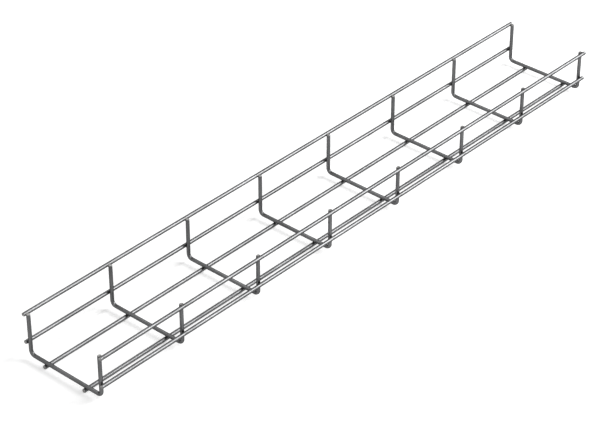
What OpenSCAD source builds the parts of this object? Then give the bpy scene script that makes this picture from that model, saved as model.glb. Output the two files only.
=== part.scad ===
// Wire mesh cable basket: one welded length of open-topped cable tray.
// Straight long wires run under the floor and along the outside of both walls.
// U-shaped cross wires lie inside them, and each crossing is a spot weld.
//
// Millimetres, +Z up, +Y along the tray and +X across it. The origin is on the
// surface that the floor wires rest on, at the middle of the tray.

/* [Tray] */
// Overall width, over the outsides of the side wires
tray_w = 100; // [80:1:300]
// Overall height, from under the floor wires to the top of the rim wires
tray_h = 50; // [30:1:120]
// Number of U-shaped cross wires
cross_count = 8; // [2:1:30]
// Length of long wire past the axis of each end cross wire
end_run = 3; // [2.5:0.5:50]

/* [Mesh] */
// Spacing of the cross wires along the tray
cross_pitch = 100; // [20:1:200]
// Number of long wires under the floor
floor_count = 2; // [1:1:2]
// Spacing of the floor wires across the tray
floor_pitch = 50; // [10:1:75]
// Number of side wires below the rim wire on each wall
side_count = 1; // [1:1:2]
// Height of the lowest side wire's axis above the underside of the tray
side_z = 18.1; // [12:0.1:20]

/* [Wire] */
// Diameter of the long wires
long_d = 3.8; // [3:0.1:5]
// Diameter of the cross wires
cross_d = 3.8; // [3:0.1:5]
// Depth by which two crossing wires are pressed into each other at their weld
weld_set = 0.15; // [0.05:0.05:0.6]
// Inside radius of the two bends of a cross wire
bend_r = 2.7; // [1:0.1:6]
// Height of the cut tips of a cross wire above the axis of the rim wires
tip_rise = 1; // [0:0.1:1.5]

/* [Hidden] */
$fn = 96;
zinc = [0.55, 0.56, 0.58];

// Distance between the axes of two wires at their weld
axis_gap = (long_d + cross_d) / 2 - weld_set;

// Axes of the long wires
floor_z = long_d / 2;
rim_z = tray_h - long_d / 2;
side_x = tray_w / 2 - long_d / 2;
side_step = (rim_z - side_z) / side_count;

// Axis of a cross wire: along the floor, round the bends and up the legs
bed_z = floor_z + axis_gap;
leg_x = side_x - axis_gap;
bend_axis_r = bend_r + cross_d / 2;
tip_z = rim_z + tip_rise;

// Places along the tray
mesh_len = (cross_count - 1) * cross_pitch;
wire_len = mesh_len + 2 * end_run;

function floor_wire_x(i) = (i - (floor_count + 1) / 2) * floor_pitch;
function side_wire_z(i) = side_z + (i - 1) * side_step;
function cross_wire_y(i) = (i - 1) * cross_pitch - mesh_len / 2;

// A straight wire along the whole tray, with its axis at x and z
module long_wire(x, z) {
    color(zinc)
        translate([x, -wire_len / 2, z])
            rotate([-90, 0, 0])
                cylinder(d = long_d, h = wire_len);
}

module floor_wire(i) {
    long_wire(floor_wire_x(i), floor_z);
}

// side is -1 for the left wall and 1 for the right wall
module side_wire(side, i) {
    long_wire(side * side_x, side_wire_z(i));
}

module rim_wire(side) {
    long_wire(side * side_x, rim_z);
}

module all_long_wires() {
    for (i = [1:floor_count]) floor_wire(i);
    for (side = [-1, 1]) {
        for (i = [1:side_count]) side_wire(side, i);
        rim_wire(side);
    }
}

// A quarter turn from the floor up into the right leg
module bend() {
    translate([leg_x - bend_axis_r, 0, bed_z + bend_axis_r])
        rotate([90, 0, 0])
            rotate([0, 0, -90])
                rotate_extrude(angle = 90)
                    translate([bend_axis_r, 0])
                        circle(d = cross_d);
}

// The right leg, from its bend to its cut tip
module leg() {
    translate([leg_x, 0, bed_z + bend_axis_r])
        cylinder(d = cross_d, h = tip_z - bed_z - bend_axis_r);
}

// The straight run between the two bends
module bed() {
    half_len = leg_x - bend_axis_r;
    translate([-half_len, 0, bed_z])
        rotate([0, 90, 0])
            cylinder(d = cross_d, h = 2 * half_len);
}

// A wire bent to a U at the middle of the tray, still round all along
module bent_wire() {
    bed();
    for (side = [0, 1])
        mirror([side, 0, 0]) {
            bend();
            leg();
        }
}

// Cross wire number i, with a seat pressed into it at each weld, so that the
// long wire lies in it face to face
module cross_wire(i) {
    color(zinc)
        difference() {
            translate([0, cross_wire_y(i), 0]) bent_wire();
            all_long_wires();
        }
}

for (i = [1:floor_count])
    floor_wire(i);
for (i = [1:side_count]) {
    side_wire(-1, i);
    side_wire(1, i);
}
rim_wire(-1);  // left_rim_wire
rim_wire(1);  // right_rim_wire
for (i = [1:cross_count])
    cross_wire(i);
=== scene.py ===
import math

import bpy
import numpy as np
from mathutils import Matrix, Vector


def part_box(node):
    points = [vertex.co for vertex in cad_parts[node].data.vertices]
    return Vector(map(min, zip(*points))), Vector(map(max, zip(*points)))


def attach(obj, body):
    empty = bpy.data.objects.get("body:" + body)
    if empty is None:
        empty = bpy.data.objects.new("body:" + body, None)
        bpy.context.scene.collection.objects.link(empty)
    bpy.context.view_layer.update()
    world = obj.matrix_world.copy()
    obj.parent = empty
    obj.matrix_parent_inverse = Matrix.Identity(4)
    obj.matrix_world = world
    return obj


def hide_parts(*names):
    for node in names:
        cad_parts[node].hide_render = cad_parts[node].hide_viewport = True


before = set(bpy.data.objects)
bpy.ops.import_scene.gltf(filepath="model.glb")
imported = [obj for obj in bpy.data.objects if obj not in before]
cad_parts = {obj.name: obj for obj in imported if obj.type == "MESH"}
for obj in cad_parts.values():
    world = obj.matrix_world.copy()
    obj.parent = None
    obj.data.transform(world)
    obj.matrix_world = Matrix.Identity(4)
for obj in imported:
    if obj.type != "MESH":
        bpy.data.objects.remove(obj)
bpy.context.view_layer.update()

mm = 0.001
upward = np.array([0.0, 0.0, 1.0])
lengthwise = np.array([0.0, 1.0, 0.0])
crosswise = np.array([1.0, 0.0, 0.0])


# Where the wires lie comes from the boxes of the frame's nodes

def boxOf(name):
    low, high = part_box(name)
    return np.array(low, float), np.array(high, float)


def readLongWire(name):
    # the middle of the box is the axis, and half its width the radius
    low, high = boxOf(name)
    middle = (low + high) / 2
    return {"x": middle[0], "z": middle[2], "start": low[1], "end": high[1],
            "radius": (high[0] - low[0]) / 2}


def readCrossWire(name):
    # half the box's depth is the radius, and the axes of the legs and the bed lie a radius inside its faces
    low, high = boxOf(name)
    radius = (high[1] - low[1]) / 2
    return {"y": (low[1] + high[1]) / 2, "legX": high[0] - radius, "bedZ": low[2] + radius,
            "tipZ": high[2], "radius": radius}


def numberOf(name):
    return int(name.split("_")[-1])


crossNames = sorted((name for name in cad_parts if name.startswith("cross_wire")), key=numberOf)
longNames = sorted(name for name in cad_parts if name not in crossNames)
longWires = {name: readLongWire(name) for name in longNames}
crossWires = {name: readCrossWire(name) for name in crossNames}
legX = crossWires[crossNames[0]]["legX"]
print("frame read:", len(longNames), "long wires and", len(crossNames), "cross wires")


def isOnWall(place):
    # the long wires of the walls lie outside the legs
    return abs(place["x"]) > legX


def towardsCross(place):
    # from a long wire to the cross wires: inwards for a wire on a wall, up for a floor wire
    return -np.sign(place["x"]) * crosswise if isOnWall(place) else upward


# Meshes from grids

def finishMesh(name, mesh):
    mesh.polygons.foreach_set("use_smooth", np.ones(len(mesh.polygons), bool))
    mesh.update()
    piece = bpy.data.objects.new(name, mesh)
    bpy.context.scene.collection.objects.link(piece)
    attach(piece, "root")
    return piece


def storeValues(mesh, values):
    for label, field in values.items():
        stored = mesh.attributes.new(label, "FLOAT", "POINT")
        stored.data.foreach_set("value", field.astype(np.float32).ravel())


def tubeMesh(name, rings, poles, reach, around, values):
    # rings is a grid of points, ring by side. A face joins rings k and k + 1 at sides j and j + 1, and a fan
    # closes each end on its pole. The map holds metres along the wire and metres round it.
    ringCount, sideCount = rings.shape[:2]
    k, j = np.meshgrid(np.arange(ringCount - 1), np.arange(sideCount), indexing="ij")
    after = (j + 1) % sideCount
    quads = np.stack([k * sideCount + j, k * sideCount + after,
                      (k + 1) * sideCount + after, (k + 1) * sideCount + j], -1).reshape(-1, 4)
    side = np.arange(sideCount)
    nextSide = (side + 1) % sideCount
    lastRing = (ringCount - 1) * sideCount
    firstPole = ringCount * sideCount
    openFan = np.stack([nextSide, side, np.full(sideCount, firstPole)], -1)
    closeFan = np.stack([lastRing + side, lastRing + nextSide, np.full(sideCount, firstPole + 1)], -1)
    points = np.concatenate([rings.reshape(-1, 3), poles])
    mesh = bpy.data.meshes.new(name)
    mesh.from_pydata(points.tolist(), [], quads.tolist() + openFan.tolist() + closeFan.tolist())

    quadReach = np.stack([reach[k], reach[k], reach[k + 1], reach[k + 1]], -1)
    quadAround = np.stack([around[j], around[j + 1], around[j + 1], around[j]], -1)
    openReach = np.full((sideCount, 3), reach[0])
    openAround = np.stack([around[side + 1], around[side], around[side]], -1)
    closeReach = np.full((sideCount, 3), reach[-1])
    closeAround = np.stack([around[side], around[side + 1], around[side]], -1)
    corners = [np.stack(pair, -1).reshape(-1, 2)
               for pair in ((quadReach, quadAround), (openReach, openAround), (closeReach, closeAround))]
    layer = mesh.uv_layers.new(name="wireMap")
    layer.data.foreach_set("uv", np.concatenate(corners).astype(np.float32).ravel())
    storeValues(mesh, {label: np.append(field.ravel(), [field[0].mean(), field[-1].mean()])
                       for label, field in values.items()})
    return finishMesh(name, mesh)


# A wire: rings along an axis, from one cut face to the other

wire = {
    "sides": 32,
    "faceRings": 5,  # rings on each cut face
    "hub": 0.2,  # radius of the innermost of them, as a share of the outermost
    "edgeRings": 5,  # rings round the edge of a cut face, the first being the face's outermost
    "plainStep": 4 * mm,  # ring spacing on plain stretches, at most
    "weldStep": 0.16 * mm,  # ring spacing at a weld
    "weldReach": 2.4 * mm,  # how far the fine rings run each way from a weld
    "endStep": 0.2 * mm,  # ring spacing at the ends of a long wire
    "endReach": 2 * mm,  # how far those rings run
    "bendStep": 0.35 * mm,  # ring spacing round a bend
    "bendMargin": 1 * mm,  # how far those rings run past the bend
    "leastStep": 0.04 * mm,  # rings closer than this are left out
}
cutEnd = {
    "edge": 0.22 * mm,  # radius of the edge of a cut face
    "rollOver": 0.3 * mm,  # how far the side that the blade met first is drawn down
    "rollReach": 0.7 * mm,  # along the wire that fades to about a third over this length
    "rollFades": 6,  # and it ends after this many such lengths
    "burr": 0.13 * mm,  # how far the lip on the other side stands past the face
    "rimPower": 6,  # the higher, the nearer the lip keeps to the rim of the face
    "lipPower": 3,  # the higher, the shorter the lip round the wire
    "tornBlend": 0.3,  # width of the change from cut to torn metal, as a share of the radius
}
press = {
    "depth": 0.16 * mm,  # flat pressed by an electrode on the side away from the weld
    "reach": 2.6 * mm,  # length of that flat each way from the weld
    "lobePower": 4,  # the higher, the narrower the flat round the wire
    "heatReach": 3.6 * mm,  # how far the heat marks the zinc
    "heatPower": 1.5,  # the higher, the faster the mark fades along the wire
    "heatBehind": 0.1,  # strength of the mark on the side away from the weld
}


def smoothStep(t):
    # 0 up to t = 0, 1 from t = 1, and three times t squared less twice t cubed in between
    t = np.clip(t, 0, 1)
    return t * t * (3 - 2 * t)


def ringPlaces(length, fine):
    # plain spacing all along, plus finer spacing about each place of fine, given as (middle, reach, step)
    edge = cutEnd["edge"]
    places = [np.linspace(edge, length - edge, int(length / wire["plainStep"]) + 2)]
    for middle, reach, step in fine:
        places.append(np.arange(middle - reach, middle + reach + step / 2, step))
    places = np.sort(np.concatenate(places))
    places = places[(places > edge) & (places < length - edge)]
    apart = np.diff(places, prepend=-1) > wire["leastStep"]
    return places[apart]


def wireProfile(length, radius, fine):
    # Distance along and radius of every ring: out over the first cut face, a quarter circle round its edge,
    # along the wire, and the same in reverse. onFace is 1 on a cut face and 0 elsewhere.
    edge = cutEnd["edge"]
    faceRadii = np.linspace(wire["hub"], 1, wire["faceRings"]) * (radius - edge)
    angle = np.linspace(0, math.pi / 2, wire["edgeRings"])[1:]
    headReach = np.append(np.zeros(len(faceRadii)), edge * (1 - np.cos(angle)))
    headRadii = np.append(faceRadii, radius - edge + edge * np.sin(angle))
    middle = ringPlaces(length, fine)
    reach = np.concatenate([headReach, middle, length - headReach[::-1]])
    radii = np.concatenate([headRadii, np.full(len(middle), radius), headRadii[::-1]])
    onFace = np.zeros(len(reach))
    onFace[:len(faceRadii)] = 1
    onFace[-len(faceRadii):] = 1
    return reach, radii, onFace


def sweptWire(name, axisAt, length, radius, welds, fine, rollTurn, seat=None):
    # A ring's point is the axis, plus height times the outward direction, plus breadth times the sideways
    # one, where height and breadth are the radius times the cosine and sine of the turn round the wire. The
    # turn is 0 where the wire touches the one it is welded to, and half a turn on is where the electrode
    # pressed. rollTurn is the turn at which the blade drew the ends down.
    reach, radii, onFace = wireProfile(length, radius, fine)
    turn = np.linspace(0, 2 * math.pi, wire["sides"] + 1)
    angle = turn[:-1][None, :]
    s = reach[:, None]  # distance along the wire
    radiusAt = np.repeat(radii[:, None], wire["sides"], 1)
    share = radii[:, None] / radius

    # the electrode's flat, a smooth bump along the wire times a power of the cosine on the far side, and the
    # mark of the heat, a power of the nearness to the weld times a share that falls towards the far side
    heat = np.zeros_like(radiusAt)
    facing = press["heatBehind"] + (1 - press["heatBehind"]) * (1 + np.cos(angle)) / 2
    for weld in welds:
        flat = smoothStep(1 - np.abs(s - weld) / press["reach"])
        lobe = np.clip(-np.cos(angle), 0, 1) ** press["lobePower"]
        radiusAt -= press["depth"] * flat * lobe * share
        near = np.clip(1 - np.abs(s - weld) / press["heatReach"], 0, 1) ** press["heatPower"]
        heat = np.maximum(heat, near * facing)

    # the sheared ends: one side drawn down, fading exponentially along the wire, and a lip on the other
    shift = np.zeros_like(radiusAt)
    drawnSide = np.clip(np.cos(angle - rollTurn), 0, 1) ** 2
    lipSide = np.clip(-np.cos(angle - rollTurn), 0, 1) ** cutEnd["lipPower"]
    for gap, sign in ((s, 1), (length - s, -1)):
        near = np.exp(-gap / cutEnd["rollReach"]) * (gap < cutEnd["rollFades"] * cutEnd["rollReach"])
        radiusAt -= cutEnd["rollOver"] * near * drawnSide * share ** 2
        atEnd = gap <= cutEnd["edge"]
        shift += sign * cutEnd["burr"] * atEnd * (1 - share ** cutEnd["rimPower"] * lipSide)

    height = radiusAt * np.cos(angle)
    breadth = radiusAt * np.sin(angle)
    if seat is not None:
        height = np.minimum(height, seat(s))
    axis, outward, sideways, heading = axisAt(reach)
    rings = (axis[:, None] + height[..., None] * outward[:, None] + breadth[..., None] * sideways[:, None]
             + shift[..., None] * heading[:, None])
    poles = np.stack([rings[0].mean(0), rings[-1].mean(0)])
    # a face is cut on the drawn side and torn on the other
    cutShare = smoothStep((share * np.cos(angle - rollTurn) + cutEnd["tornBlend"] / 2) / cutEnd["tornBlend"])
    values = {"weldHeat": heat, "cutFace": np.repeat(onFace[:, None], wire["sides"], 1),
              "tornFace": 1 - cutShare}
    return tubeMesh(name, rings, poles, reach, turn * radius, values)


# Long wires

longWire = {
    "rollTurn": 0.3 * math.pi,  # where the blade met the wire, as a turn from the side of the welds
}


def longWirePiece(name):
    place = longWires[name]
    length = place["end"] - place["start"]
    welds = [crossWires[crossName]["y"] - place["start"] for crossName in crossNames]
    fine = [(weld, wire["weldReach"], wire["weldStep"]) for weld in welds]
    fine += [(end, wire["endReach"], wire["endStep"]) for end in (0, length)]
    outward = towardsCross(place)
    sideways = np.cross(lengthwise, outward)

    def straightAxis(reach):
        # the wire's x and z all along, and its start plus the distance for y
        ones = np.ones((len(reach), 1))
        axis = ones * [place["x"], place["start"], place["z"]] + reach[:, None] * lengthwise
        return axis, ones * outward, ones * sideways, ones * lengthwise

    piece = sweptWire(name + "_zinc", straightAxis, length, place["radius"], welds, fine,
                      longWire["rollTurn"])
    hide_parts(name)
    return piece


longPieces = [longWirePiece(name) for name in longNames]
print("long wires made:", len(longPieces))


# Cross wires

crossWire = {
    "bendInside": 2.7 * mm,  # inside radius of a bend
    "rollTurn": math.pi,  # where the blade met the wire, as a turn from the side of the welds
}


def crossWirePiece(name):
    place = crossWires[name]
    radius = place["radius"]
    bend = crossWire["bendInside"] + radius
    leg = place["tipZ"] - place["bedZ"] - bend
    arc = bend * math.pi / 2
    bed = 2 * (place["legX"] - bend)
    length = 2 * (leg + arc) + bed
    bends = [leg + arc / 2, leg + arc * 1.5 + bed]

    # a wall's weld is met going down the left leg or up the right one, and a floor wire's along the bed
    welds = []
    for other in longWires.values():
        down = place["tipZ"] - other["z"]
        if isOnWall(other):
            welds.append(down if other["x"] < 0 else length - down)
        else:
            welds.append(leg + arc + bed / 2 + other["x"])
    fine = [(weld, wire["weldReach"], wire["weldStep"]) for weld in welds]
    fine += [(middle, arc / 2 + wire["bendMargin"], wire["bendStep"]) for middle in bends]

    def bentAxis(reach):
        # The heading turns evenly from down to level over the first bend, and from level to up over the
        # second. Each step of the axis is the chord of its arc: its length times sin(x) / x, where x is half
        # the angle that it turns by.
        first = np.clip((reach - leg) / bend, 0, math.pi / 2)
        second = np.clip((reach - leg - arc - bed) / bend, 0, math.pi / 2)
        heading = first + second - math.pi / 2
        turned = np.diff(heading)
        mean = (heading[1:] + heading[:-1]) / 2
        chord = np.diff(reach) * np.sinc(turned / 2 / math.pi)
        x = np.append(0, np.cumsum(chord * np.cos(mean))) - place["legX"]
        z = np.append(0, np.cumsum(chord * np.sin(mean))) + place["tipZ"]
        axis = np.stack([x, np.full(len(x), place["y"]), z], -1)
        forward = np.stack([np.cos(heading), np.zeros(len(x)), np.sin(heading)], -1)
        sideways = np.repeat(lengthwise[None], len(x), 0)
        return axis, np.cross(sideways, forward), sideways, forward

    floorWire = longWires["floor_wire_1"]
    axisGap = place["bedZ"] - floorWire["z"]

    def seat(s):
        # At a weld the cross wire ends at the long wire's round surface: the distance between the axes less
        # the root of that wire's radius squared minus the distance from the weld squared.
        limit = np.full_like(s, np.inf)
        for weld in welds:
            off = np.clip(np.abs(s - weld), 0, floorWire["radius"])
            limit = np.minimum(limit, axisGap - np.sqrt(floorWire["radius"] ** 2 - off ** 2))
        return limit

    piece = sweptWire(name + "_zinc", bentAxis, length, radius, welds, fine, crossWire["rollTurn"], seat)
    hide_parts(name)
    return piece


crossPieces = [crossWirePiece(name) for name in crossNames]
print("cross wires made:", len(crossPieces))


# Weld beads: the metal squeezed out between two crossing wires

bead = {
    "turnSteps": 40,
    "loopSteps": 14,
    "inner": 0.5 * mm,  # inside the patch where the wires touch
    "outer": 1.62 * mm,  # reach of the squeezed metal from the middle of the weld
    "uneven": 0.16,  # how much that reach wanders round the weld, as a share
    "waves": 6,  # how many waves are laid over each other for that
    "leastWave": 0.2,  # a wave's height is between this and 1, divided by the wave's number
    "sectionPower": 0.6,  # the lower, the squarer the bead's section
    "sunk": 0.05 * mm,  # how far the bead runs into both wires
    "seed": 50100,  # of the random numbers that the waves take
}
dice = np.random.default_rng(bead["seed"])


def beadGrid(radiusBelow, radiusAbove, axisGap):
    # Round the weld by angle and round the bead's section by loop. Distance from the middle is between inner
    # and the wandering outer reach. Height is between the two wires' round surfaces, each the wire's radius
    # less its drop at that distance across it, and a power of the sine squares the section off.
    angle = np.linspace(0, 2 * math.pi, bead["turnSteps"], endpoint=False)[:, None]
    loop = np.linspace(0, 2 * math.pi, bead["loopSteps"], endpoint=False)[None, :]
    waves = np.arange(1, bead["waves"] + 1)
    phase = dice.uniform(0, 2 * math.pi, len(waves))
    size = dice.uniform(bead["leastWave"], 1, len(waves)) / waves
    wander = (size * np.sin(angle * waves + phase)).sum(1, keepdims=True) / size.sum()
    outer = bead["outer"] * (1 + bead["uneven"] * wander)
    distance = (outer + bead["inner"]) / 2 + (outer - bead["inner"]) / 2 * np.cos(loop)
    alongLong = distance * np.cos(angle)
    alongCross = distance * np.sin(angle)
    below = np.sqrt(radiusBelow ** 2 - alongCross ** 2) - axisGap / 2
    above = axisGap / 2 - np.sqrt(radiusAbove ** 2 - alongLong ** 2)
    middle = (above + below) / 2
    half = np.maximum((above - below) / 2, 0) + bead["sunk"]
    lift = np.sign(np.sin(loop)) * np.abs(np.sin(loop)) ** bead["sectionPower"]
    return alongLong, alongCross, middle + half * lift


def beadPiece(name):
    # the beads of one cross wire in one mesh, each a ring-shaped grid that closes both ways
    place = crossWires[name]
    turnSteps, loopSteps = bead["turnSteps"], bead["loopSteps"]
    k, j = np.meshgrid(np.arange(turnSteps), np.arange(loopSteps), indexing="ij")
    nextK, nextJ = (k + 1) % turnSteps, (j + 1) % loopSteps
    faces = np.stack([k * loopSteps + j, k * loopSteps + nextJ,
                      nextK * loopSteps + nextJ, nextK * loopSteps + j], -1).reshape(-1, 4)
    allPoints, allFaces = [], []
    for other in longWires.values():
        towards = towardsCross(other)
        acrossIt = np.cross(lengthwise, towards)
        gap = abs(other["x"]) - place["legX"] if isOnWall(other) else place["bedZ"] - other["z"]
        middle = np.array([other["x"], place["y"], other["z"]]) + towards * (gap / 2)
        alongLong, alongCross, height = beadGrid(other["radius"], place["radius"], gap)
        points = (middle + alongLong[..., None] * lengthwise + alongCross[..., None] * acrossIt
                  + height[..., None] * towards)
        points[..., 2] = np.minimum(points[..., 2], place["tipZ"] - bead["sunk"])  # sheared off with the leg
        allFaces.append(faces + len(allPoints) * turnSteps * loopSteps)
        allPoints.append(points.reshape(-1, 3))
    mesh = bpy.data.meshes.new(name + "_welds")
    mesh.from_pydata(np.concatenate(allPoints).tolist(), [], np.concatenate(allFaces).tolist())
    count = len(mesh.vertices)
    storeValues(mesh, {"weldHeat": np.ones(count), "cutFace": np.zeros(count), "tornFace": np.zeros(count)})
    return finishMesh(name + "_welds", mesh)


beadPieces = [beadPiece(name) for name in crossNames]
print("weld beads made:", len(beadPieces) * len(longWires))


# Finishes

zinc = {
    "pale": (0.158, 0.159, 0.162, 1),
    "deep": (0.116, 0.117, 0.119, 1),
    "weldMark": (0.092, 0.091, 0.090, 1),
    "cutSteel": (0.36, 0.358, 0.352, 1),  # where the blade cut the end of a wire
    "tornSteel": (0.25, 0.248, 0.243, 1),  # where the rest of the end tore off
    "edgeTint": (0.08, 0.08, 0.08, 1),  # how bright the metal is at grazing angles
    "metallic": 0.9,
    "clearGloss": 0.3,  # gloss of the part that isn't metal, where 0.5 is the usual
    "roughness": (0.28, 0.38),  # from the low to the high of the grain
    "patchScale": 26,  # patches of some 40 mm
    "patchDetail": 3.0,
    "patchRange": (0.35, 0.65),  # stretch of that noise over which deep turns to pale
    "grainScale": 1500,  # grain of some 0.7 mm and finer
    "grainDetail": 4.0,
    "grainRange": (0.3, 0.7),  # stretch of that noise which is used
    "fleck": (0.82, 1.12),  # how much the grain darkens and brightens the colour
    "grainRelief": 0.000012,  # height of the grain in metres
    "tornRelief": 0.0001,  # the same where the end tore off
    "drawnScale": (60, 9000, 1),  # lines that drawing leaves, some 17 mm long and 0.1 mm wide
    "drawnDetail": 2.0,
    "drawnRange": (0.3, 0.7),  # stretch of that noise which is used
    "drawnRelief": 0.000008,  # height of those lines in metres
}


def addNode(tree, kind, links=(), **settings):
    # links are (input, source socket), and settings set the node's properties or its inputs' values
    node = tree.nodes.new(kind)
    for key, value in settings.items():
        if hasattr(node, key):
            setattr(node, key, value)
        else:
            node.inputs[key.replace("_", " ")].default_value = value
    for target, source in links:
        tree.links.new(source, node.inputs[target])
    return node


def rangeOf(tree, source, given, wanted):
    # the source's value, turned from the given range to the wanted one and held inside it
    node = addNode(tree, "ShaderNodeMapRange", [("Value", source)])
    for label, value in zip(("From Min", "From Max", "To Min", "To Max"), given + wanted):
        node.inputs[label].default_value = value
    return node.outputs["Result"]


def mathOf(tree, operation, first, second):
    return addNode(tree, "ShaderNodeMath", [(0, first), (1, second)], operation=operation).outputs["Value"]


def mixColor(tree, factor, first, second):
    # first where the factor is 0 and second where it is 1, each of them a colour or a socket
    node = addNode(tree, "ShaderNodeMix", data_type="RGBA")
    tree.links.new(factor, node.inputs["Factor"])
    colorInputs = [socket for socket in node.inputs if socket.type == "RGBA"]
    for socket, value in zip(colorInputs, (first, second)):
        if isinstance(value, tuple):
            socket.default_value = value
        else:
            tree.links.new(value, socket)
    return next(socket for socket in node.outputs if socket.type == "RGBA")


def valueOf(tree, label):
    return addNode(tree, "ShaderNodeAttribute", attribute_name=label).outputs["Fac"]


def noiseOf(tree, place, scale, detail):
    return addNode(tree, "ShaderNodeTexNoise", [("Vector", place)], Scale=scale, Detail=detail).outputs["Fac"]


def zincMaterial():
    material = bpy.data.materials.new("zincPlatedWire")
    material.use_nodes = True
    tree = material.node_tree
    tree.nodes.clear()
    place = addNode(tree, "ShaderNodeTexCoord").outputs["Object"]
    wireMap = addNode(tree, "ShaderNodeUVMap", uv_map="wireMap").outputs["UV"]
    heat, cut, torn = (valueOf(tree, label) for label in ("weldHeat", "cutFace", "tornFace"))

    patches = noiseOf(tree, place, zinc["patchScale"], zinc["patchDetail"])
    grain = noiseOf(tree, place, zinc["grainScale"], zinc["grainDetail"])
    stretched = addNode(tree, "ShaderNodeMapping", [("Vector", wireMap)], Scale=zinc["drawnScale"])
    drawn = noiseOf(tree, stretched.outputs["Vector"], 1.0, zinc["drawnDetail"])

    tone = rangeOf(tree, patches, zinc["patchRange"], (0.0, 1.0))
    base = mixColor(tree, tone, zinc["deep"], zinc["pale"])
    fleck = rangeOf(tree, grain, zinc["grainRange"], zinc["fleck"])
    flecked = addNode(tree, "ShaderNodeVectorMath", [(0, base), (1, fleck)], operation="MULTIPLY")
    marked = mixColor(tree, heat, flecked.outputs["Vector"], zinc["weldMark"])
    endFace = mixColor(tree, torn, zinc["cutSteel"], zinc["tornSteel"])
    finished = mixColor(tree, cut, marked, endFace)

    # the relief is the grain, coarser where an end tore off, plus the lines along the wire
    rough = rangeOf(tree, grain, zinc["grainRange"], zinc["roughness"])
    lines = rangeOf(tree, drawn, zinc["drawnRange"], (0.0, zinc["drawnRelief"]))
    tornHere = mathOf(tree, "MULTIPLY", torn, cut)
    coarse = rangeOf(tree, tornHere, (0.0, 1.0), (zinc["grainRelief"], zinc["tornRelief"]))
    relief = mathOf(tree, "ADD", mathOf(tree, "MULTIPLY", grain, coarse), lines)
    bump = addNode(tree, "ShaderNodeBump", [("Height", relief)], Strength=1.0, Distance=1.0)
    shader = addNode(tree, "ShaderNodeBsdfPrincipled",
                     [("Base Color", finished), ("Roughness", rough), ("Normal", bump.outputs["Normal"])],
                     Metallic=zinc["metallic"], Specular_Tint=zinc["edgeTint"],
                     Specular_IOR_Level=zinc["clearGloss"])
    addNode(tree, "ShaderNodeOutputMaterial", [("Surface", shader.outputs["BSDF"])])
    return material


zincFinish = zincMaterial()
allPieces = longPieces + crossPieces + beadPieces
for piece in allPieces:
    piece.data.materials.append(zincFinish)
print("finishes set on", len(allPieces), "pieces")


# Floor, light and camera

studio = {
    "floorSize": 60.0,
    "floorColor": (0.8, 0.8, 0.8, 1),
    "floorGlow": 0.45,  # added for the camera and for reflections, so that the floor shows white
    "farGlow": 0.93,  # the same out where the softboxes' light ends
    "glowReach": (0.8, 3.5),  # distances from the tray's middle between which it changes
    "skyLight": 0.1,  # the sky's strength as light
    "skySeen": 1.0,  # and as the white background of the view and of reflections
}
# A polished wire shows a lamp that lies towards one of its ends to viewers towards the other: the long wires
# show a lamp at +Y to viewers at -Y, and the cross wires' beds show one at -X to viewers at +X.
softboxes = {
    "keyBox": {  # past the tray's +Y end, parallel to the long wires, which show it as a line from -Y
        "place": (1.64, 2.2, 1.68),
        "along": lengthwise,
        "length": 2.6,
        "width": 1.75,
        "power": 163.0,
    },
    "topBox": {  # high up at -X, parallel to the cross wires' beds, which show it from +X
        "place": (-1.17, 0.25, 1.8),
        "along": crosswise,
        "length": 0.8,
        "width": 2.0,
        "power": 6.1,
    },
    "stripBox": {  # high up towards -Y, for the line that the long wires show from the sides and from +Y
        "place": (0.0, -1.6, 2.2),
        "along": lengthwise,
        "length": 3.6,
        "width": 0.3,
        "power": 18.6,
    },
}


def seenFactor(tree):
    # 1 for camera, glossy and transmission rays and 0 for the rest
    path = addNode(tree, "ShaderNodeLightPath").outputs
    first = mathOf(tree, "MAXIMUM", path["Is Camera Ray"], path["Is Glossy Ray"])
    return mathOf(tree, "MAXIMUM", first, path["Is Transmission Ray"])


def makeFloor():
    half = studio["floorSize"] / 2
    corners = [(-half, -half, 0), (half, -half, 0), (half, half, 0), (-half, half, 0)]
    mesh = bpy.data.meshes.new("floor")
    mesh.from_pydata(corners, [], [(0, 1, 2, 3)])
    floor = bpy.data.objects.new("floor", mesh)
    bpy.context.scene.collection.objects.link(floor)
    material = bpy.data.materials.new("paleFloor")
    material.use_nodes = True
    tree = material.node_tree
    tree.nodes.clear()
    matt = addNode(tree, "ShaderNodeBsdfDiffuse", Color=studio["floorColor"])
    place = addNode(tree, "ShaderNodeTexCoord").outputs["Object"]
    distance = addNode(tree, "ShaderNodeVectorMath", [(0, place)], operation="LENGTH").outputs["Value"]
    glowHere = rangeOf(tree, distance, studio["glowReach"], (studio["floorGlow"], studio["farGlow"]))
    strength = mathOf(tree, "MULTIPLY", seenFactor(tree), glowHere)
    glow = addNode(tree, "ShaderNodeEmission", [("Strength", strength)])
    both = addNode(tree, "ShaderNodeAddShader", [(0, matt.outputs["BSDF"]), (1, glow.outputs["Emission"])])
    addNode(tree, "ShaderNodeOutputMaterial", [("Surface", both.outputs["Shader"])])
    mesh.materials.append(material)


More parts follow.
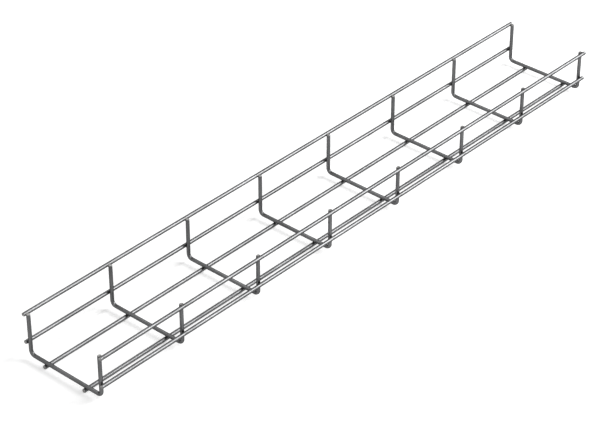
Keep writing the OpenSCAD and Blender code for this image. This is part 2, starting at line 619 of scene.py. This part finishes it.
def makeSky():
    world = bpy.data.worlds.new("sky")
    bpy.context.scene.world = world
    world.use_nodes = True
    tree = world.node_tree
    tree.nodes.clear()
    strength = rangeOf(tree, seenFactor(tree), (0.0, 1.0), (studio["skyLight"], studio["skySeen"]))
    sky = addNode(tree, "ShaderNodeBackground", [("Strength", strength)], Color=(1, 1, 1, 1))
    addNode(tree, "ShaderNodeOutputWorld", [("Surface", sky.outputs["Background"])])


def makeSoftbox(name, place, along, length, width, power):
    # a rectangle whose length runs parallel to along, turned about its length to face the line that is
    # parallel to it through the tray's middle
    lamp = bpy.data.lights.new(name, "AREA")
    lamp.shape = "RECTANGLE"
    lamp.size = length
    lamp.size_y = width
    lamp.energy = power
    holder = bpy.data.objects.new(name, lamp)
    bpy.context.scene.collection.objects.link(holder)
    line = Vector(along)
    away = Vector(place) - line * line.dot(place)
    away.normalize()
    turned = Matrix((line, away.cross(line), away)).transposed().to_4x4()
    holder.matrix_world = Matrix.Translation(place) @ turned


camera = {
    "azimuth": 41.45,
    "elevation": 33.62,
    "roll": 0.09,
    "distance": 2.1375,
    "aim": (-0.0072, -0.0263, 0.0129),
    "lens": 130.54,
    "sensor": 36,
    "nearest": 0.05,
    "farthest": 100,
}


def makeCamera():
    turned = (Matrix.Rotation(math.radians(camera["azimuth"]), 4, "Z")
              @ Matrix.Rotation(math.radians(90 - camera["elevation"]), 4, "X")
              @ Matrix.Rotation(math.radians(camera["roll"]), 4, "Z"))
    lens = bpy.data.cameras.new("viewer")
    lens.lens = camera["lens"]
    lens.sensor_width = camera["sensor"]
    lens.clip_start = camera["nearest"]
    lens.clip_end = camera["farthest"]
    viewer = bpy.data.objects.new("viewer", lens)
    bpy.context.scene.collection.objects.link(viewer)
    viewer.matrix_world = (Matrix.Translation(Vector(camera["aim"])) @ turned
                           @ Matrix.Translation((0, 0, camera["distance"])))
    bpy.context.scene.camera = viewer


makeFloor()
makeSky()
for name, settings in softboxes.items():
    makeSoftbox(name, **settings)
makeCamera()
bpy.context.scene.view_settings.view_transform = "Standard"
print("studio set")
